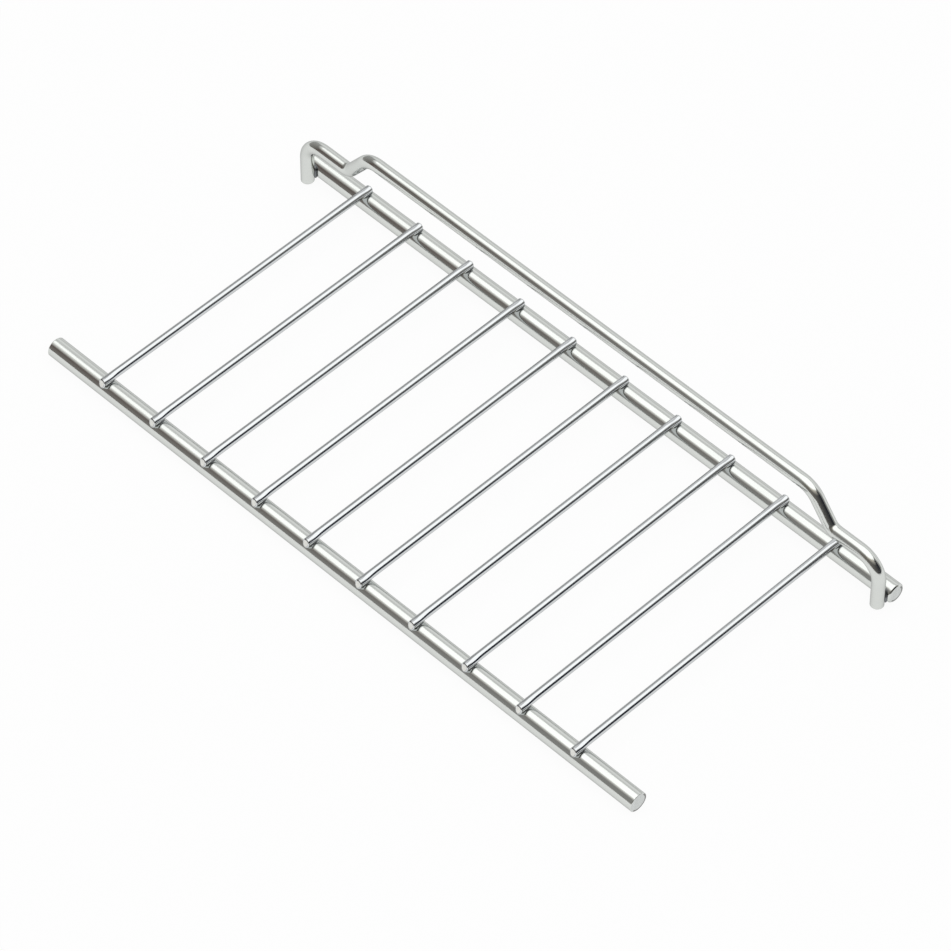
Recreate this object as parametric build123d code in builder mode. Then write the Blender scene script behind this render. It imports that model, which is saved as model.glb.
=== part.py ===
from build123d import *
import os

# Wire shelf for a compact refrigerator: two round carrier rods, cross wires welded on top of them,
# and a bent guard wire whose legs are welded to the front of the rear rod.
# X runs along the rods, Y from the front rod to the rear rod, Z up. The shelf stands on its two rods at Z = 0.

# Driving dimensions, in millimetres
ROD_DIAMETER = 7.5
ROD_LENGTH = 278.5
ROD_SPACING = 123.5  # front rod axis to rear rod axis
ROD_END_CHAMFER = 0.4  # broken edge of a cut rod end

WIRE_DIAMETER = 3.0
WIRE_PITCH = 25.0
WIRE_REAR_OVERHANG = 1.75  # past the rear rod's axis, the front ends are flush with the front rod
WIRE_END_CHAMFER = 0.2
WIRE_FREE_END = 24.0  # least length of bare rod beyond the last wire

GUARD_DIAMETER = 5.0
GUARD_LEG_INSET = 3.0  # leg axis in from the rod's end
GUARD_LEG_DROP = 2.8  # leg's cut end below the rod axis
GUARD_SHOULDER_HEIGHT = 18.1  # shoulder axis above the rod axis
GUARD_SHOULDER_LENGTH = 21.5  # leg axis to the foot of the slant
GUARD_SLANT_RUN = 10.0
GUARD_SLANT_RISE = 13.2
GUARD_BEND_RADIUS = 9.0  # at the wire's axis
GUARD_FOOT_BEND_RADIUS = 4.5  # of the tighter bend at the foot of a slant
GUARD_END_CHAMFER = 0.8

WELD_SET = 0.3  # how deep a welded wire is set down on the rod

# Places that follow from them
rod_radius = ROD_DIAMETER / 2
wire_radius = WIRE_DIAMETER / 2
guard_radius = GUARD_DIAMETER / 2
front_y = -ROD_SPACING / 2
rear_y = ROD_SPACING / 2
rod_z = rod_radius
wire_z = rod_z + rod_radius + wire_radius - WELD_SET
wire_front_y = front_y - rod_radius
wire_length = rear_y + WIRE_REAR_OVERHANG - wire_front_y
guard_y = rear_y - rod_radius - guard_radius + WELD_SET
wire_gaps = int((ROD_LENGTH - 2 * WIRE_FREE_END) // WIRE_PITCH)
first_wire_x = -wire_gaps * WIRE_PITCH / 2

os.makedirs("parts", exist_ok=True)

# Carrier rods: straight, cut square, with the cut edges broken
for rod_name, rod_y in (("front_rod", front_y), ("rear_rod", rear_y)):
    with BuildPart() as rod:
        with BuildSketch(Plane((-ROD_LENGTH / 2, rod_y, rod_z), z_dir=(1, 0, 0))):
            Circle(rod_radius)
        extrude(amount=ROD_LENGTH)
        chamfer(rod.edges().filter_by(GeomType.CIRCLE), ROD_END_CHAMFER)
    rod.part.label = rod_name
    export_step(rod.part, f"parts/{rod_name}.step")

# Cross wires: each lies on both rods, in the saddles that welding presses into its underside
for place in range(wire_gaps + 1):
    wire_name = f"cross_wire_{place + 1:02d}"
    wire_x = first_wire_x + place * WIRE_PITCH
    with BuildPart() as wire:
        with BuildSketch(Plane((wire_x, wire_front_y, wire_z), z_dir=(0, 1, 0))):
            Circle(wire_radius)
        extrude(amount=wire_length)
        chamfer(wire.edges().filter_by(GeomType.CIRCLE), WIRE_END_CHAMFER)
        with Locations((wire_x, front_y, rod_z), (wire_x, rear_y, rod_z)):
            Cylinder(rod_radius, 2 * WIRE_DIAMETER, rotation=(0, 90, 0), mode=Mode.SUBTRACT)
    wire.part.label = wire_name
    export_step(wire.part, f"parts/{wire_name}.step")

# Guard wire: one wire bent six times in an upright plane, from one leg over the rail to the other leg
leg_x = ROD_LENGTH / 2 - GUARD_LEG_INSET
foot_x = leg_x - GUARD_SHOULDER_LENGTH
rail_x = foot_x - GUARD_SLANT_RUN
leg_z = rod_z - GUARD_LEG_DROP
shoulder_z = rod_z + GUARD_SHOULDER_HEIGHT
rail_z = shoulder_z + GUARD_SLANT_RISE
right_half = [(rail_x, rail_z), (foot_x, shoulder_z), (leg_x, shoulder_z), (leg_x, leg_z)]
left_half = [(-x, z) for x, z in reversed(right_half)]
half_bends = [GUARD_BEND_RADIUS, GUARD_FOOT_BEND_RADIUS, GUARD_BEND_RADIUS]

with BuildPart() as guard:
    with BuildLine(Plane((0, guard_y, 0), x_dir=(1, 0, 0), z_dir=(0, -1, 0))) as bends:
        FilletPolyline(*left_half, *right_half, radius=half_bends + half_bends)
    with BuildSketch(Plane((-leg_x, guard_y, leg_z), z_dir=(0, 0, 1))):
        Circle(guard_radius)
    sweep(path=bends.wires()[0])
    leg_ends = guard.edges().filter_by(GeomType.CIRCLE).group_by(Axis.Z)[0]
    chamfer(leg_ends, GUARD_END_CHAMFER)
    with Locations((-leg_x, rear_y, rod_z), (leg_x, rear_y, rod_z)):
        Cylinder(rod_radius, 2 * GUARD_DIAMETER, rotation=(0, 90, 0), mode=Mode.SUBTRACT)
guard.part.label = "guard_wire"
export_step(guard.part, "parts/guard_wire.step")
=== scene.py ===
import math
import random

import bmesh
import bpy
from mathutils import Matrix, Vector


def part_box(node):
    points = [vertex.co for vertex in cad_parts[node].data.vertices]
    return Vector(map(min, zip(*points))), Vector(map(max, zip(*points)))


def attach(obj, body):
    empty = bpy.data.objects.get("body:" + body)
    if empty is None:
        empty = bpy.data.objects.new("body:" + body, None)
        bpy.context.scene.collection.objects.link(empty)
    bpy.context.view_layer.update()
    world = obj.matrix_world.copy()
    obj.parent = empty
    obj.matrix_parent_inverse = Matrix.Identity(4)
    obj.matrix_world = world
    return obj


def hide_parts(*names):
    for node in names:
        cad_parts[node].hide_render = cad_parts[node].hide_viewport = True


# Looks of a welded wire shelf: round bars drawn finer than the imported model's, weld beads, sheared ends,
# bright plate, and a small studio. Lengths are metres. X runs along the rods, Y from front to rear, Z up.
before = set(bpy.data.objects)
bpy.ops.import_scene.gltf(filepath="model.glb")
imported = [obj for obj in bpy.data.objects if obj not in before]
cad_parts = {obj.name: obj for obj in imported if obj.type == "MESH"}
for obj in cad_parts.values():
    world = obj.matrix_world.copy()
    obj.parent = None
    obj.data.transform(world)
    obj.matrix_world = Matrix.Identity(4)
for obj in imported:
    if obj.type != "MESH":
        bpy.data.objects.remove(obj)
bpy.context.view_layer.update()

AXIS_X = Vector((1, 0, 0))
AXIS_Y = Vector((0, 1, 0))
AXIS_Z = Vector((0, 0, 1))
BODY = "root"

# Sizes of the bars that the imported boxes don't tell
GUARD_RADIUS = 0.0025
GUARD_BEND_RADIUS = 0.009
GUARD_FOOT_BEND_RADIUS = 0.0045
GUARD_SHOULDER_LENGTH = 0.0215
GUARD_SLANT_RUN = 0.010
GUARD_SLANT_RISE = 0.0132
WELD_SET = 0.0003

# Broken edges of the sheared ends, and the share of each that is rounded off
FRONT_ROD_END_CHAMFER = 0.00012
REAR_ROD_END_CHAMFER = 0.0005
WIRE_END_CHAMFER = 0.00035
GUARD_END_CHAMFER = 0.0008
END_SOFTENING = 0.25
GUARD_END_SOFTENING = 0.6
SOFTENING_STEPS = 3
END_GUIDE = 3  # place of the first ring behind a cut end, in chamfers
# Widths of the rims round the cut faces, and the side towards which each rim is darker
ROD_RIM = 0.0006
WIRE_RIM = 0.0001
GUARD_RIM = 0.0001
DARKER_RIM_SIDE = Vector((0, 1, -1))

# Sheared front ends of the wires: the cut leans back, and its lower edge is drawn down
CUT_LEAN = math.radians(15)
CUT_BURR = 0.5
CUT_REACH = 0.002

# Flats that the welding electrode presses into the top of a wire, as shares of its radius
FLAT_DEPTH = 0.15
FLAT_SPREAD = 0.05
FLAT_REACH = 0.002

# Fineness of the bars
ROD_SIDES = 72
WIRE_SIDES = 48
GUARD_SIDES = 56
BAR_STEP = 0.008
BEND_STEP_ANGLE = math.radians(5)
SADDLE_REACH = 0.0048
SADDLE_STEP = 0.0003
LEG_STEP = 0.0002

# Weld beads in the crevice between two crossing bars; the larger beads at the legs also carry the painted
# crevice shade
WIRE_BEAD_GAP = 0.0004
WIRE_BEAD_RADIUS = 0.0003
LEG_BEAD_GAP = 0.0008
LEG_BEAD_RADIUS = 0.0006
BEAD_SIDES = 10
BEAD_STEPS = 40
BEAD_UNEVEN = 0.35
BEAD_WAVES = (2, 3, 5)
BEAD_WAVE_SHARES = (0.3, 1.0)
BEAD_SEED = 7

# Places of the bars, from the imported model
front_low, front_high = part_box("front_rod")
rear_low, rear_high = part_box("rear_rod")
wire_low, wire_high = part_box("cross_wire_01")
guard_low, guard_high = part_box("guard_wire")
wire_nodes = sorted(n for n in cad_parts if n.startswith("cross_wire_"))

rod_radius = (front_high.z - front_low.z) / 2
wire_radius = (wire_high.z - wire_low.z) / 2
rod_z = (front_low.z + front_high.z) / 2
front_y = (front_low.y + front_high.y) / 2
rear_y = (rear_low.y + rear_high.y) / 2
wire_z = (wire_low.z + wire_high.z) / 2
guard_y = rear_y - rod_radius - GUARD_RADIUS + WELD_SET


def wire_x(node):
    low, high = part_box(node)
    return (low.x + high.x) / 2


# Bar making

def start_ring(bm, centre, direction, radius, sides):
    """A ring of edges square to a direction, from which a bar is drawn out."""
    turn = direction.to_track_quat("Z", "Y").to_matrix().to_4x4()
    place = Matrix.Translation(centre) @ turn
    made = bmesh.ops.create_circle(bm, segments=sides, radius=radius, matrix=place)
    return list(dict.fromkeys(edge for vert in made["verts"] for edge in vert.link_edges))


def draw_on(bm, ring, step):
    """Draws the bar on by one straight step and returns its new last ring."""
    made = bmesh.ops.extrude_edge_only(bm, edges=ring)["geom"]
    fresh = [part for part in made if isinstance(part, bmesh.types.BMVert)]
    bmesh.ops.translate(bm, verts=fresh, vec=step)
    known = set(fresh)
    return [part for part in made if isinstance(part, bmesh.types.BMEdge) and known.issuperset(part.verts)]


def draw_to(bm, ring, direction, stations):
    """Draws the bar on through stations, which are distances from where it is now."""
    done = 0.0
    for station in stations:
        ring = draw_on(bm, ring, direction * (station - done))
        done = station
    return ring


def even_stations(length, step):
    count = max(1, math.ceil(length / step))
    return [length * (k + 1) / count for k in range(count)]


def bend_on(bm, ring, centre, axis, angle):
    """Bends the bar on round a centre and returns its new last ring."""
    steps = max(2, math.ceil(angle / BEND_STEP_ANGLE))
    made = bmesh.ops.spin(bm, geom=ring, cent=centre, axis=axis, angle=angle, steps=steps,
                          use_duplicate=False)
    return [part for part in made["geom_last"] if isinstance(part, bmesh.types.BMEdge)]


def soft_bevel(bm, edges, width, steps):
    return bmesh.ops.bevel(bm, geom=edges, offset=width, segments=steps, profile=0.5, affect="EDGES",
                           material=-1, clamp_overlap=True)["faces"]


def close_end(bm, ring, chamfer, softening=END_SOFTENING):
    """Closes a bar's end with a flat cut face and breaks its edge, with some roundness on both sides."""
    cut = bmesh.ops.edgeloop_fill(bm, edges=ring)["faces"][0]
    slope = soft_bevel(bm, list(cut.edges), chamfer, 1)
    across = {edge for face in slope for edge in face.edges if set(slope).issuperset(edge.link_faces)}
    rims = {edge for face in slope for edge in face.edges} - across
    soft_bevel(bm, list(rims), chamfer * softening, SOFTENING_STEPS)


def mark_cut_faces(bm, rim_width):
    """Gives flat cut faces their piece's second material, and the half of their rims towards the lower rear
    the darker third.
    """
    cuts = [face for face in bm.faces if len(face.verts) > 4]  # all other faces have four corners
    for cut in cuts:
        middle = cut.calc_center_median()
        rim = bmesh.ops.inset_individual(bm, faces=[cut], thickness=rim_width)["faces"]
        cut.material_index = 1
        for face in rim:
            # each rim takes the darker tone on its half towards the lower rear
            on_darker_side = (face.calc_center_median() - middle).dot(DARKER_RIM_SIDE) > 0
            face.material_index = 2 if on_darker_side else 1


def lean_cut(bm, front):
    """Leans the cut face at a wire's front end back, and draws its lower edge down."""
    for vert in bm.verts:
        share = 1 - (vert.co.y - front) / CUT_REACH
        if share > 0:
            off = vert.co.z - wire_z
            if off < 0:
                off *= 1 + CUT_BURR * share
            vert.co.z = wire_z + off
            vert.co.y += (off + wire_radius * (1 + CUT_BURR)) * math.tan(CUT_LEAN) * share


def press_flat(bm, x, rod_y):
    """Flattens the top of a wire and spreads its sides where it was pressed on a rod."""
    for vert in bm.verts:
        off = vert.co - Vector((x, rod_y, wire_z))
        press = math.exp(-(off.y / FLAT_REACH) ** 2 / 2)
        vert.co.x += FLAT_SPREAD * press * off.x
        vert.co.z -= FLAT_DEPTH * press * max(off.z, 0)


def press_saddle(bm, rod_y, push):
    """Moves points that would lie inside a rod out to its surface, as welding presses a saddle."""
    for vert in bm.verts:
        off = Vector((0, vert.co.y - rod_y, vert.co.z - rod_z))
        across = off - push * off.dot(push)
        if off.length < rod_radius:
            height = math.sqrt(rod_radius ** 2 - across.length_squared)
            vert.co += push * (height - off.dot(push))


def make_piece(name, bm, materials, nodes=()):
    """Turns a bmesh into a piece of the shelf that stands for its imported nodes."""
    bmesh.ops.recalc_face_normals(bm, faces=bm.faces)
    for face in bm.faces:
        face.smooth = True
    mesh = bpy.data.meshes.new(name)
    bm.to_mesh(mesh)
    bm.free()
    for material in materials:
        mesh.materials.append(material)
    piece = bpy.data.objects.new(name, mesh)
    bpy.context.scene.collection.objects.link(piece)
    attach(piece, BODY)
    if nodes:
        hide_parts(*nodes)
    return piece


# Pieces of the shelf

def carrier_rod(node, rod_y, end_chamfer, materials):
    """A straight rod with both ends sheared off square."""
    bm = bmesh.new()
    low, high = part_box(node)
    length = high.x - low.x
    first = start_ring(bm, Vector((low.x, rod_y, rod_z)), AXIS_X, rod_radius, ROD_SIDES)
    guide = END_GUIDE * end_chamfer
    middle = [guide + d for d in even_stations(length - 2 * guide, BAR_STEP)]
    last = draw_to(bm, first, AXIS_X, [guide] + middle + [length])
    close_end(bm, first, end_chamfer)
    close_end(bm, last, end_chamfer)
    mark_cut_faces(bm, ROD_RIM)
    return make_piece(f"{node}_bar", bm, materials, [node])


def saddle_stations(start, places):
    """Close stations where a wire is pressed on a rod, as distances from the wire's start."""
    steps = round(SADDLE_REACH / SADDLE_STEP)
    return [place - start + k * SADDLE_STEP for place in places for k in range(-steps, steps + 1)]


def cross_wire(node, materials):
    """A straight thin wire pressed on both rods."""
    bm = bmesh.new()
    low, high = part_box(node)
    length = high.y - low.y
    x = wire_x(node)
    first = start_ring(bm, Vector((x, low.y, wire_z)), AXIS_Y, wire_radius, WIRE_SIDES)
    guide = END_GUIDE * WIRE_END_CHAMFER
    saddles = [s for s in saddle_stations(low.y, (front_y, rear_y)) if guide < s < length - guide]
    gap_start = front_y + SADDLE_REACH - low.y
    gap_length = rear_y - front_y - 2 * SADDLE_REACH
    middle = [gap_start + d for d in even_stations(gap_length, BAR_STEP)][:-1]
    stations = sorted([guide, length - guide, length] + saddles + middle)
    last = draw_to(bm, first, AXIS_Y, stations)
    close_end(bm, first, WIRE_END_CHAMFER)
    close_end(bm, last, WIRE_END_CHAMFER)
    mark_cut_faces(bm, WIRE_RIM)
    lean_cut(bm, low.y)
    for rod_y in (front_y, rear_y):
        press_saddle(bm, rod_y, AXIS_Z)
        press_flat(bm, x, rod_y)
    return make_piece(f"{node}_bar", bm, materials, [node])


def guard_corners():
    """The corners of the guard's line, from the left leg's foot over the rail to the right leg's foot."""
    leg_x = guard_high.x - GUARD_RADIUS
    foot_x = leg_x - GUARD_SHOULDER_LENGTH
    rail_x = foot_x - GUARD_SLANT_RUN
    rail_z = guard_high.z - GUARD_RADIUS
    shoulder_z = rail_z - GUARD_SLANT_RISE
    right = [(rail_x, rail_z), (foot_x, shoulder_z), (leg_x, shoulder_z), (leg_x, guard_low.z)]
    left = [(-x, z) for x, z in reversed(right)]
    return [Vector((x, guard_y, z)) for x, z in left + right]


def guard_wire(materials):
    """One wire bent six times in an upright plane."""
    bm = bmesh.new()
    corners = guard_corners()
    runs = [b - a for a, b in zip(corners, corners[1:])]
    headings = [run.normalized() for run in runs]
    turns = [a.angle(b) for a, b in zip(headings, headings[1:])]
    radii = 2 * [GUARD_BEND_RADIUS, GUARD_FOOT_BEND_RADIUS, GUARD_BEND_RADIUS]
    cuts = [0.0] + [radius * math.tan(turn / 2) for radius, turn in zip(radii, turns)] + [0.0]
    first = start_ring(bm, corners[0], headings[0], GUARD_RADIUS, GUARD_SIDES)
    ring = first
    for k, (run, heading) in enumerate(zip(runs, headings)):
        straight = run.length - cuts[k] - cuts[k + 1]
        step = LEG_STEP if k in (0, len(runs) - 1) else BAR_STEP
        ring = draw_to(bm, ring, heading, even_stations(straight, step))
        if k < len(turns):
            axis = heading.cross(headings[k + 1]).normalized()
            bend_start = corners[k + 1] - heading * cuts[k + 1]
            centre = bend_start + axis.cross(heading) * radii[k]
            ring = bend_on(bm, ring, centre, axis, turns[k])
    close_end(bm, first, GUARD_END_CHAMFER, GUARD_END_SOFTENING)
    close_end(bm, ring, GUARD_END_CHAMFER, GUARD_END_SOFTENING)
    mark_cut_faces(bm, GUARD_RIM)
    press_saddle(bm, rear_y, -AXIS_Y)
    return make_piece("guard_wire_bar", bm, materials, ["guard_wire"])


def weld_bead(bm, centre, along_wire, up, bar_radius, gap, bead_radius, chance):
    """An uneven bead round the spot where a bar is welded across a rod."""
    depth = WELD_SET + gap
    half_x = math.sqrt(bar_radius ** 2 - (bar_radius - depth) ** 2)
    half_y = math.sqrt(rod_radius ** 2 - (rod_radius - depth) ** 2)
    mean = (half_x + half_y) / 2
    upright = Matrix.Translation((mean, 0, 0)) @ Matrix.Rotation(math.pi / 2, 4, "X")
    ring = bmesh.ops.create_circle(bm, segments=BEAD_SIDES, radius=bead_radius, matrix=upright)
    section = list(dict.fromkeys(edge for vert in ring["verts"] for edge in vert.link_edges))
    known = set(bm.verts) - set(ring["verts"])
    bmesh.ops.spin(bm, geom=section, cent=(0, 0, 0), axis=AXIS_Z, angle=2 * math.pi, steps=BEAD_STEPS,
                   use_merge=True, use_duplicate=False)
    waves = [(k, chance.uniform(0, 2 * math.pi), chance.uniform(*BEAD_WAVE_SHARES)) for k in BEAD_WAVES]
    place = Matrix((AXIS_X, along_wire, up)).transposed().to_4x4()
    place.translation = centre
    for vert in [v for v in bm.verts if v not in known]:
        angle = math.atan2(vert.co.y, vert.co.x)
        wave = sum(share * math.sin(k * angle + phase) for k, phase, share in waves) / len(waves)
        swell = 1 + BEAD_UNEVEN * wave
        outward = Vector((math.cos(angle) / half_x, math.sin(angle) / half_y, 0)).normalized()
        line = Vector((half_x * math.cos(angle), half_y * math.sin(angle), 0))
        rod_top = math.sqrt(rod_radius ** 2 - line.y ** 2)
        bar_under = rod_radius - WELD_SET + bar_radius - math.sqrt(bar_radius ** 2 - line.x ** 2)
        line.z = (rod_top + bar_under) / 2
        off = math.hypot(vert.co.x, vert.co.y) - mean
        vert.co = place @ (line + (outward * off + AXIS_Z * vert.co.z) * swell)


def rod_welds(name, rod_y, materials, with_legs):
    """The weld beads along one rod, whose dark tone also paints the shade in the crevices beside them."""
    chance = random.Random(BEAD_SEED)
    bm = bmesh.new()
    for node in wire_nodes:
        weld_bead(bm, Vector((wire_x(node), rod_y, rod_z)), AXIS_Y, AXIS_Z, wire_radius,
                  WIRE_BEAD_GAP, WIRE_BEAD_RADIUS, chance)
    if with_legs:
        leg_x = guard_high.x - GUARD_RADIUS
        for x in (-leg_x, leg_x):
            weld_bead(bm, Vector((x, rod_y, rod_z)), AXIS_Z, -AXIS_Y, GUARD_RADIUS,
                      LEG_BEAD_GAP, LEG_BEAD_RADIUS, chance)
    return make_piece(name, bm, materials)


# Finishes

PLATE_TONES = ((0.70, 0.72, 0.695, 1), (0.63, 0.65, 0.625, 1))
WIRE_TONES = ((0.655, 0.675, 0.685, 1), (0.59, 0.61, 0.615, 1))
ROD_CUT_TONES = ((0.78, 0.80, 0.79, 1), (0.58, 0.60, 0.59, 1))
WIRE_CUT_TONES = ((0.82, 0.82, 0.78, 1), (0.70, 0.70, 0.665, 1))
RIM_TONES = ((0.36, 0.36, 0.35, 1), (0.22, 0.22, 0.215, 1))
# Weld beads: a dull weld tone, darkened further to paint the shade in the crevice where a bar meets a rod
WELD_AND_CREVICE_SHADE_TONES = ((0.26, 0.27, 0.28, 1), (0.10, 0.105, 0.11, 1))
PLATE_EDGE_TINT = (0.58, 0.58, 0.58, 1)

# Pattern of the plate: fineness of its clouds and ripple, and the part of the ripple that changes the gloss
CLOUD_DETAIL = 3.0
RIPPLE_SCALE = 4.0
RIPPLE_DETAIL = 2.0
RIPPLE_LOW = 0.3
RIPPLE_HIGH = 0.7

# Fineness of each finish along X, Y and Z, in repeats a metre
ROD_GRAIN = (60, 500, 500)
WIRE_GRAIN = (700, 60, 700)
GUARD_GRAIN = (250, 250, 250)
SHEARED_GRAIN = (900, 900, 90)
SHEARED_TURN = (math.radians(35), 0, 0)
SPECKLED_GRAIN = (900, 900, 900)

# Least and most roughness of each finish
ROD_GLOSS = (0.10, 0.16)
WIRE_GLOSS = (0.08, 0.13)
GUARD_GLOSS = (0.10, 0.16)
CUT_GLOSS = (0.24, 0.40)
RIM_GLOSS = (0.20, 0.32)
WELD_GLOSS = (0.22, 0.40)

# Height of the ripple in each finish
PLATE_RIPPLE = 2e-6
CUT_RIPPLE = 8e-6
WELD_RIPPLE = 1e-5


def plate_surface_group():
    """Shared effect: cloudy tone, gloss and fine ripple of plated steel. Place is scaled by each finish."""
    group = bpy.data.node_groups.new("plate_surface", "ShaderNodeTree")
    sockets = group.interface
    sockets.new_socket("Place", in_out="INPUT", socket_type="NodeSocketVector")
    sockets.new_socket("Bright Tone", in_out="INPUT", socket_type="NodeSocketColor")
    sockets.new_socket("Dull Tone", in_out="INPUT", socket_type="NodeSocketColor")
    sockets.new_socket("Least Roughness", in_out="INPUT", socket_type="NodeSocketFloat")
    sockets.new_socket("Most Roughness", in_out="INPUT", socket_type="NodeSocketFloat")
    sockets.new_socket("Tone", in_out="OUTPUT", socket_type="NodeSocketColor")
    sockets.new_socket("Roughness", in_out="OUTPUT", socket_type="NodeSocketFloat")
    sockets.new_socket("Ripple", in_out="OUTPUT", socket_type="NodeSocketFloat")
    nodes, links = group.nodes, group.links
    given = nodes.new("NodeGroupInput")
    put_out = nodes.new("NodeGroupOutput")

    clouds = nodes.new("ShaderNodeTexNoise")
    clouds.inputs["Scale"].default_value = 1.0
    clouds.inputs["Detail"].default_value = CLOUD_DETAIL
    links.new(given.outputs["Place"], clouds.inputs["Vector"])

    ripple = nodes.new("ShaderNodeTexNoise")
    ripple.inputs["Scale"].default_value = RIPPLE_SCALE
    ripple.inputs["Detail"].default_value = RIPPLE_DETAIL
    links.new(given.outputs["Place"], ripple.inputs["Vector"])

    tone = nodes.new("ShaderNodeMix")
    tone.data_type = "RGBA"
    links.new(clouds.outputs["Fac"], tone.inputs["Factor"])
    links.new(given.outputs["Bright Tone"], tone.inputs["A"])
    links.new(given.outputs["Dull Tone"], tone.inputs["B"])

    gloss = nodes.new("ShaderNodeMapRange")
    links.new(ripple.outputs["Fac"], gloss.inputs["Value"])
    gloss.inputs["From Min"].default_value = RIPPLE_LOW
    gloss.inputs["From Max"].default_value = RIPPLE_HIGH
    links.new(given.outputs["Least Roughness"], gloss.inputs["To Min"])
    links.new(given.outputs["Most Roughness"], gloss.inputs["To Max"])

    links.new(tone.outputs["Result"], put_out.inputs["Tone"])
    links.new(gloss.outputs["Result"], put_out.inputs["Roughness"])
    links.new(ripple.outputs["Fac"], put_out.inputs["Ripple"])
    return group


def plated_steel(name, surface, grain, tones, roughness, ripple_height, turn=(0, 0, 0)):
    """A bright plated finish. Grain is the pattern's fineness along X, Y and Z, in repeats a metre."""
    material = bpy.data.materials.new(name)
    material.use_nodes = True
    nodes, links = material.node_tree.nodes, material.node_tree.links
    shader = nodes["Principled BSDF"]
    shader.inputs["Metallic"].default_value = 1.0
    shader.inputs["Specular Tint"].default_value = PLATE_EDGE_TINT

    place = nodes.new("ShaderNodeTexCoord")
    mapping = nodes.new("ShaderNodeMapping")
    mapping.inputs["Rotation"].default_value = turn
    mapping.inputs["Scale"].default_value = grain
    links.new(place.outputs["Object"], mapping.inputs["Vector"])

    plate = nodes.new("ShaderNodeGroup")
    plate.node_tree = surface
    plate.inputs["Bright Tone"].default_value = tones[0]
    plate.inputs["Dull Tone"].default_value = tones[1]
    plate.inputs["Least Roughness"].default_value = roughness[0]
    plate.inputs["Most Roughness"].default_value = roughness[1]
    links.new(mapping.outputs["Vector"], plate.inputs["Place"])
    links.new(plate.outputs["Tone"], shader.inputs["Base Color"])
    links.new(plate.outputs["Roughness"], shader.inputs["Roughness"])

    bump = nodes.new("ShaderNodeBump")
    bump.inputs["Strength"].default_value = 1.0
    bump.inputs["Distance"].default_value = ripple_height
    links.new(plate.outputs["Ripple"], bump.inputs["Height"])
    links.new(bump.outputs["Normal"], shader.inputs["Normal"])
    return material


# Studio

CAMERA_AIM = Vector((0.00749, -0.004535, 0.010))
CAMERA_DISTANCE = 2.1796
CAMERA_AZIMUTH = math.radians(44.861)
CAMERA_ELEVATION = math.radians(49.748)
CAMERA_ROLL = math.radians(0.127)
CAMERA_LENS = 244.95
CAMERA_SENSOR = 36.0
CAMERA_REACH = 100.0

FLOOR_SIZE = 12.0
FLOOR_DROP = 0.0001
FLOOR_TONE = (0.95, 0.95, 0.95, 1)
FLOOR_SHOWN_WHITE = 0.93

WORLD_FILL = 0.55
# Brightness of the studio's walls by the sine of the height they are seen at
WALL_TONES = ((0.0, 0.82), (0.22, 0.74), (0.40, 0.97), (0.52, 0.97), (0.66, 0.76))

SOFTBOX_HEIGHT = 6.0
SOFTBOX_RADIUS = 5.45
SOFTBOX_SHIFT = Vector((1.00, -0.54, 0))
SOFTBOX_RADIANCE = 0.74

CARD_DISTANCE = 1.6
CARD_STEPS = 24
# Tones in which the cards glow by their direction, in turns from -X: painted reflections, seen only in the
# metal
CARD_TONES = ((0.0, (0.32, 0.31, 0.30)), (0.09, (0.20, 0.19, 0.18)), (0.128, (0.120, 0.090, 0.082)),
              (0.158, (0.21, 0.192, 0.182)), (0.188, (0.30, 0.295, 0.29)), (0.23, (0.22, 0.205, 0.185)),
              (0.31, (0.18, 0.165, 0.15)), (0.42, (0.10, 0.097, 0.095)), (0.55, (0.020, 0.021, 0.026)),
              (0.578, (0.012, 0.016, 0.036)), (0.599, (0.29, 0.285, 0.265)), (0.90, (0.46, 0.46, 0.46)),
              (1.0, (0.32, 0.31, 0.30)))
# Start and sweep of each card from +X towards +Y, and height of its top seen from the shelf, in degrees
FRONT_CARD = (185, 105, 55.5)
WARM_CARD = (-70, 82, 52)
RIGHT_CARD = (12, 38, 45)
LEFT_CARD = (145, 40, 44)
# Heights in degrees, seen from the shelf, between which a card fades to the tone of its top: the front card
# to a painted pale edge of the highlight, the warm card to a painted warm one
FRONT_CARD_FADE = (37, 55.5, (1.0, 0.985, 0.96, 1))
WARM_CARD_FADE = (30, 50, (0.75, 0.70, 0.62, 1))


def shown_rays(nodes, links):
    """A value of 1 on the rays that show a surface: to the camera, in a reflection or through glass."""
    path = nodes.new("ShaderNodeLightPath")
    glossy = nodes.new("ShaderNodeMath")
    links.new(path.outputs["Is Camera Ray"], glossy.inputs[0])
    links.new(path.outputs["Is Glossy Ray"], glossy.inputs[1])
    through = nodes.new("ShaderNodeMath")
    through.use_clamp = True
    links.new(glossy.outputs[0], through.inputs[0])
    links.new(path.outputs["Is Transmission Ray"], through.inputs[1])
    return through.outputs[0]


def studio_floor():
    """A pale floor that shows nearly white and keeps the shelf's shadow."""
    bm = bmesh.new()
    bmesh.ops.create_grid(bm, x_segments=1, y_segments=1, size=FLOOR_SIZE / 2)
    mesh = bpy.data.meshes.new("studio_floor")
    bm.to_mesh(mesh)
    bm.free()
    floor = bpy.data.objects.new("studio_floor", mesh)
    floor.location.z = -FLOOR_DROP
    bpy.context.scene.collection.objects.link(floor)

    material = bpy.data.materials.new("pale_floor")
    material.use_nodes = True
    nodes, links = material.node_tree.nodes, material.node_tree.links
    nodes.clear()
    paper = nodes.new("ShaderNodeBsdfDiffuse")
    paper.inputs["Color"].default_value = FLOOR_TONE
    white = nodes.new("ShaderNodeEmission")
    share = nodes.new("ShaderNodeMath")
    share.operation = "MULTIPLY"
    share.inputs[1].default_value = FLOOR_SHOWN_WHITE
    links.new(shown_rays(nodes, links), share.inputs[0])
    mix = nodes.new("ShaderNodeMixShader")
    links.new(share.outputs[0], mix.inputs["Fac"])
    links.new(paper.outputs[0], mix.inputs[1])
    links.new(white.outputs[0], mix.inputs[2])
    end = nodes.new("ShaderNodeOutputMaterial")
    links.new(mix.outputs[0], end.inputs["Surface"])
    mesh.materials.append(material)


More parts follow.
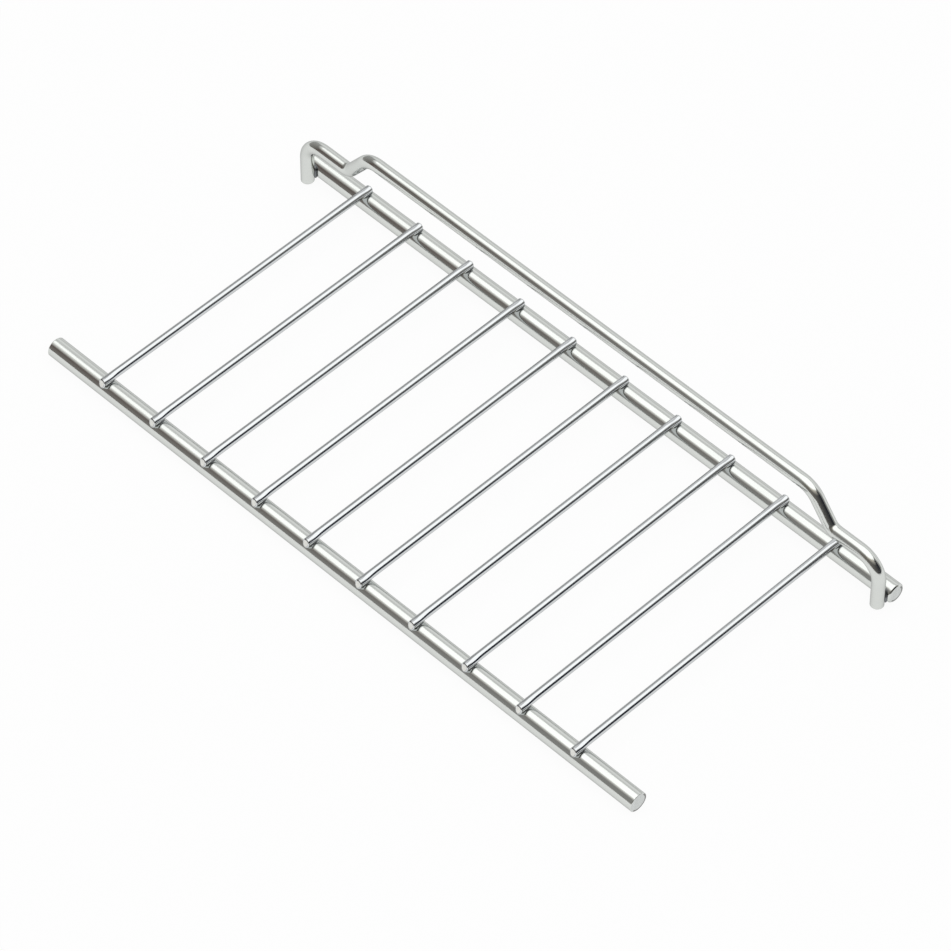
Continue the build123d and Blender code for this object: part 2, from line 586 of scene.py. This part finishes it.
def set_ramp(ramp, tones):
    """Fills a colour ramp with tones at their places."""
    while len(ramp.elements) > 1:
        ramp.elements.remove(ramp.elements[-1])
    ramp.elements[0].position = tones[0][0]
    ramp.elements[0].color = (*tones[0][1], 1)
    for place, colour in tones[1:]:
        ramp.elements.new(place).color = (*colour, 1)


def card_reflection_glow(name, fade=None):
    """Glowing card tones by direction from the shelf, painted reflections that may fade to another tone at
    the card's top.
    """
    material = bpy.data.materials.new(name)
    material.use_nodes = True
    nodes, links = material.node_tree.nodes, material.node_tree.links
    nodes.clear()
    place = nodes.new("ShaderNodeTexCoord")
    turn = nodes.new("ShaderNodeTexGradient")
    turn.gradient_type = "RADIAL"
    links.new(place.outputs["Object"], turn.inputs["Vector"])
    tones = nodes.new("ShaderNodeValToRGB")
    set_ramp(tones.color_ramp, CARD_TONES)
    links.new(turn.outputs["Fac"], tones.inputs["Fac"])
    glow = nodes.new("ShaderNodeEmission")
    links.new(tones.outputs["Color"], glow.inputs["Color"])
    if fade:
        start, end, top_tone = fade
        parts = nodes.new("ShaderNodeSeparateXYZ")
        links.new(place.outputs["Object"], parts.inputs[0])
        rise = nodes.new("ShaderNodeMapRange")
        rise.inputs["From Min"].default_value = CARD_DISTANCE * math.tan(math.radians(start))
        rise.inputs["From Max"].default_value = CARD_DISTANCE * math.tan(math.radians(end))
        links.new(parts.outputs["Z"], rise.inputs["Value"])
        blend = nodes.new("ShaderNodeMix")
        blend.data_type = "RGBA"
        blend.inputs["B"].default_value = top_tone
        links.new(rise.outputs["Result"], blend.inputs["Factor"])
        links.new(tones.outputs["Color"], blend.inputs["A"])
        links.new(blend.outputs["Result"], glow.inputs["Color"])
    end = nodes.new("ShaderNodeOutputMaterial")
    links.new(glow.outputs[0], end.inputs["Surface"])
    return material


def reflection_card(name, start, sweep, top, paper):
    """A curved card round the shelf that only shows as a reflection. Angles run from +X towards +Y."""
    bm = bmesh.new()
    height = CARD_DISTANCE * math.tan(math.radians(top))
    foot = bm.verts.new((CARD_DISTANCE, 0, 0))
    head = bm.verts.new((CARD_DISTANCE, 0, height))
    edge = bm.edges.new((foot, head))
    turn = Matrix.Rotation(math.radians(start), 3, "Z")
    bmesh.ops.rotate(bm, verts=[foot, head], cent=(0, 0, 0), matrix=turn)
    bmesh.ops.spin(bm, geom=[edge], cent=(0, 0, 0), axis=AXIS_Z, angle=math.radians(sweep),
                   steps=CARD_STEPS, use_duplicate=False)
    mesh = bpy.data.meshes.new(name)
    bm.to_mesh(mesh)
    bm.free()
    card = bpy.data.objects.new(name, mesh)
    bpy.context.scene.collection.objects.link(card)
    card.visible_camera = False
    card.visible_diffuse = False
    card.visible_shadow = False
    mesh.materials.append(paper)


def overhead_softbox():
    """A large round softbox above the shelf."""
    lamp = bpy.data.lights.new("overhead_softbox", "AREA")
    lamp.shape = "DISK"
    lamp.size = 2 * SOFTBOX_RADIUS
    lamp.energy = SOFTBOX_RADIANCE * math.pi * math.pi * SOFTBOX_RADIUS ** 2
    softbox = bpy.data.objects.new("overhead_softbox", lamp)
    softbox.location = SOFTBOX_SHIFT + AXIS_Z * SOFTBOX_HEIGHT
    softbox.visible_camera = False
    bpy.context.scene.collection.objects.link(softbox)


def studio_world():
    """White walls where they show, and a soft fill on everything else."""
    world = bpy.data.worlds.new("studio_world")
    world.use_nodes = True
    bpy.context.scene.world = world
    nodes, links = world.node_tree.nodes, world.node_tree.links
    nodes.clear()
    place = nodes.new("ShaderNodeTexCoord")
    parts = nodes.new("ShaderNodeSeparateXYZ")
    links.new(place.outputs["Generated"], parts.inputs[0])
    walls = nodes.new("ShaderNodeValToRGB")
    set_ramp(walls.color_ramp, [(height, (tone, tone, tone)) for height, tone in WALL_TONES])
    links.new(parts.outputs["Z"], walls.inputs["Fac"])
    light = nodes.new("ShaderNodeMix")
    light.data_type = "RGBA"
    light.inputs["A"].default_value = (WORLD_FILL, WORLD_FILL, WORLD_FILL, 1)
    links.new(shown_rays(nodes, links), light.inputs["Factor"])
    links.new(walls.outputs["Color"], light.inputs["B"])
    back = nodes.new("ShaderNodeBackground")
    links.new(light.outputs["Result"], back.inputs["Color"])
    end = nodes.new("ShaderNodeOutputWorld")
    links.new(back.outputs[0], end.inputs["Surface"])


def photo_camera():
    """A long lens from the front right, above the shelf."""
    flat = math.cos(CAMERA_ELEVATION)
    back = Vector((math.sin(CAMERA_AZIMUTH) * flat, -math.cos(CAMERA_AZIMUTH) * flat,
                   math.sin(CAMERA_ELEVATION)))
    data = bpy.data.cameras.new("photo_camera")
    data.lens = CAMERA_LENS
    data.sensor_width = CAMERA_SENSOR
    data.clip_end = CAMERA_REACH
    camera = bpy.data.objects.new("photo_camera", data)
    bpy.context.scene.collection.objects.link(camera)
    aim = (-back).to_track_quat("-Z", "Y").to_matrix().to_4x4()
    place = Matrix.Translation(CAMERA_AIM + back * CAMERA_DISTANCE)
    camera.matrix_world = place @ aim @ Matrix.Rotation(CAMERA_ROLL, 4, "Z")
    bpy.context.scene.camera = camera


# Assembly

surface = plate_surface_group()
rod_plate = plated_steel("bright_plate_rod", surface, ROD_GRAIN, PLATE_TONES, ROD_GLOSS, PLATE_RIPPLE)
wire_plate = plated_steel("bright_plate_wire", surface, WIRE_GRAIN, WIRE_TONES, WIRE_GLOSS, PLATE_RIPPLE)
guard_plate = plated_steel("bright_plate_guard", surface, GUARD_GRAIN, PLATE_TONES, GUARD_GLOSS, PLATE_RIPPLE)
rod_cut_plate = plated_steel("sheared_rod_plate", surface, SHEARED_GRAIN, ROD_CUT_TONES, CUT_GLOSS,
                             CUT_RIPPLE, turn=SHEARED_TURN)
wire_cut_plate = plated_steel("sheared_wire_plate", surface, SPECKLED_GRAIN, WIRE_CUT_TONES, CUT_GLOSS,
                              CUT_RIPPLE)
rim_plate = plated_steel("sheared_rim_plate", surface, SPECKLED_GRAIN, RIM_TONES, RIM_GLOSS, CUT_RIPPLE)
weld_and_shade_plate = plated_steel("weld_bead_and_crevice_shade_plate", surface, SPECKLED_GRAIN, WELD_AND_CREVICE_SHADE_TONES, WELD_GLOSS, WELD_RIPPLE)

carrier_rod("front_rod", front_y, FRONT_ROD_END_CHAMFER, [rod_plate, rod_cut_plate, rim_plate])
carrier_rod("rear_rod", rear_y, REAR_ROD_END_CHAMFER, [rod_plate, rod_cut_plate, rim_plate])
for wire_node in wire_nodes:
    cross_wire(wire_node, [wire_plate, wire_cut_plate, rim_plate])
guard = guard_wire([guard_plate, rod_cut_plate, rim_plate])
guard.visible_glossy = False  # the wires and rods of the real shelf show no clear mirror image of it
rod_welds("front_rod_welds", front_y, [weld_and_shade_plate], with_legs=False)
rod_welds("rear_rod_welds", rear_y, [weld_and_shade_plate], with_legs=True)

studio_floor()
# Glowing cards, seen only in the metal, paint the dark bands and warm fades of its reflections
paper = card_reflection_glow("card_reflection_glow")
reflection_card("dark_card_front", *FRONT_CARD, card_reflection_glow("front_card_reflection_glow", FRONT_CARD_FADE))
reflection_card("warm_card_right", *WARM_CARD, card_reflection_glow("right_card_reflection_glow", WARM_CARD_FADE))
reflection_card("dark_card_right", *RIGHT_CARD, paper)
reflection_card("grey_card_left", *LEFT_CARD, paper)
overhead_softbox()
studio_world()
photo_camera()
bpy.context.scene.view_settings.view_transform = "Standard"
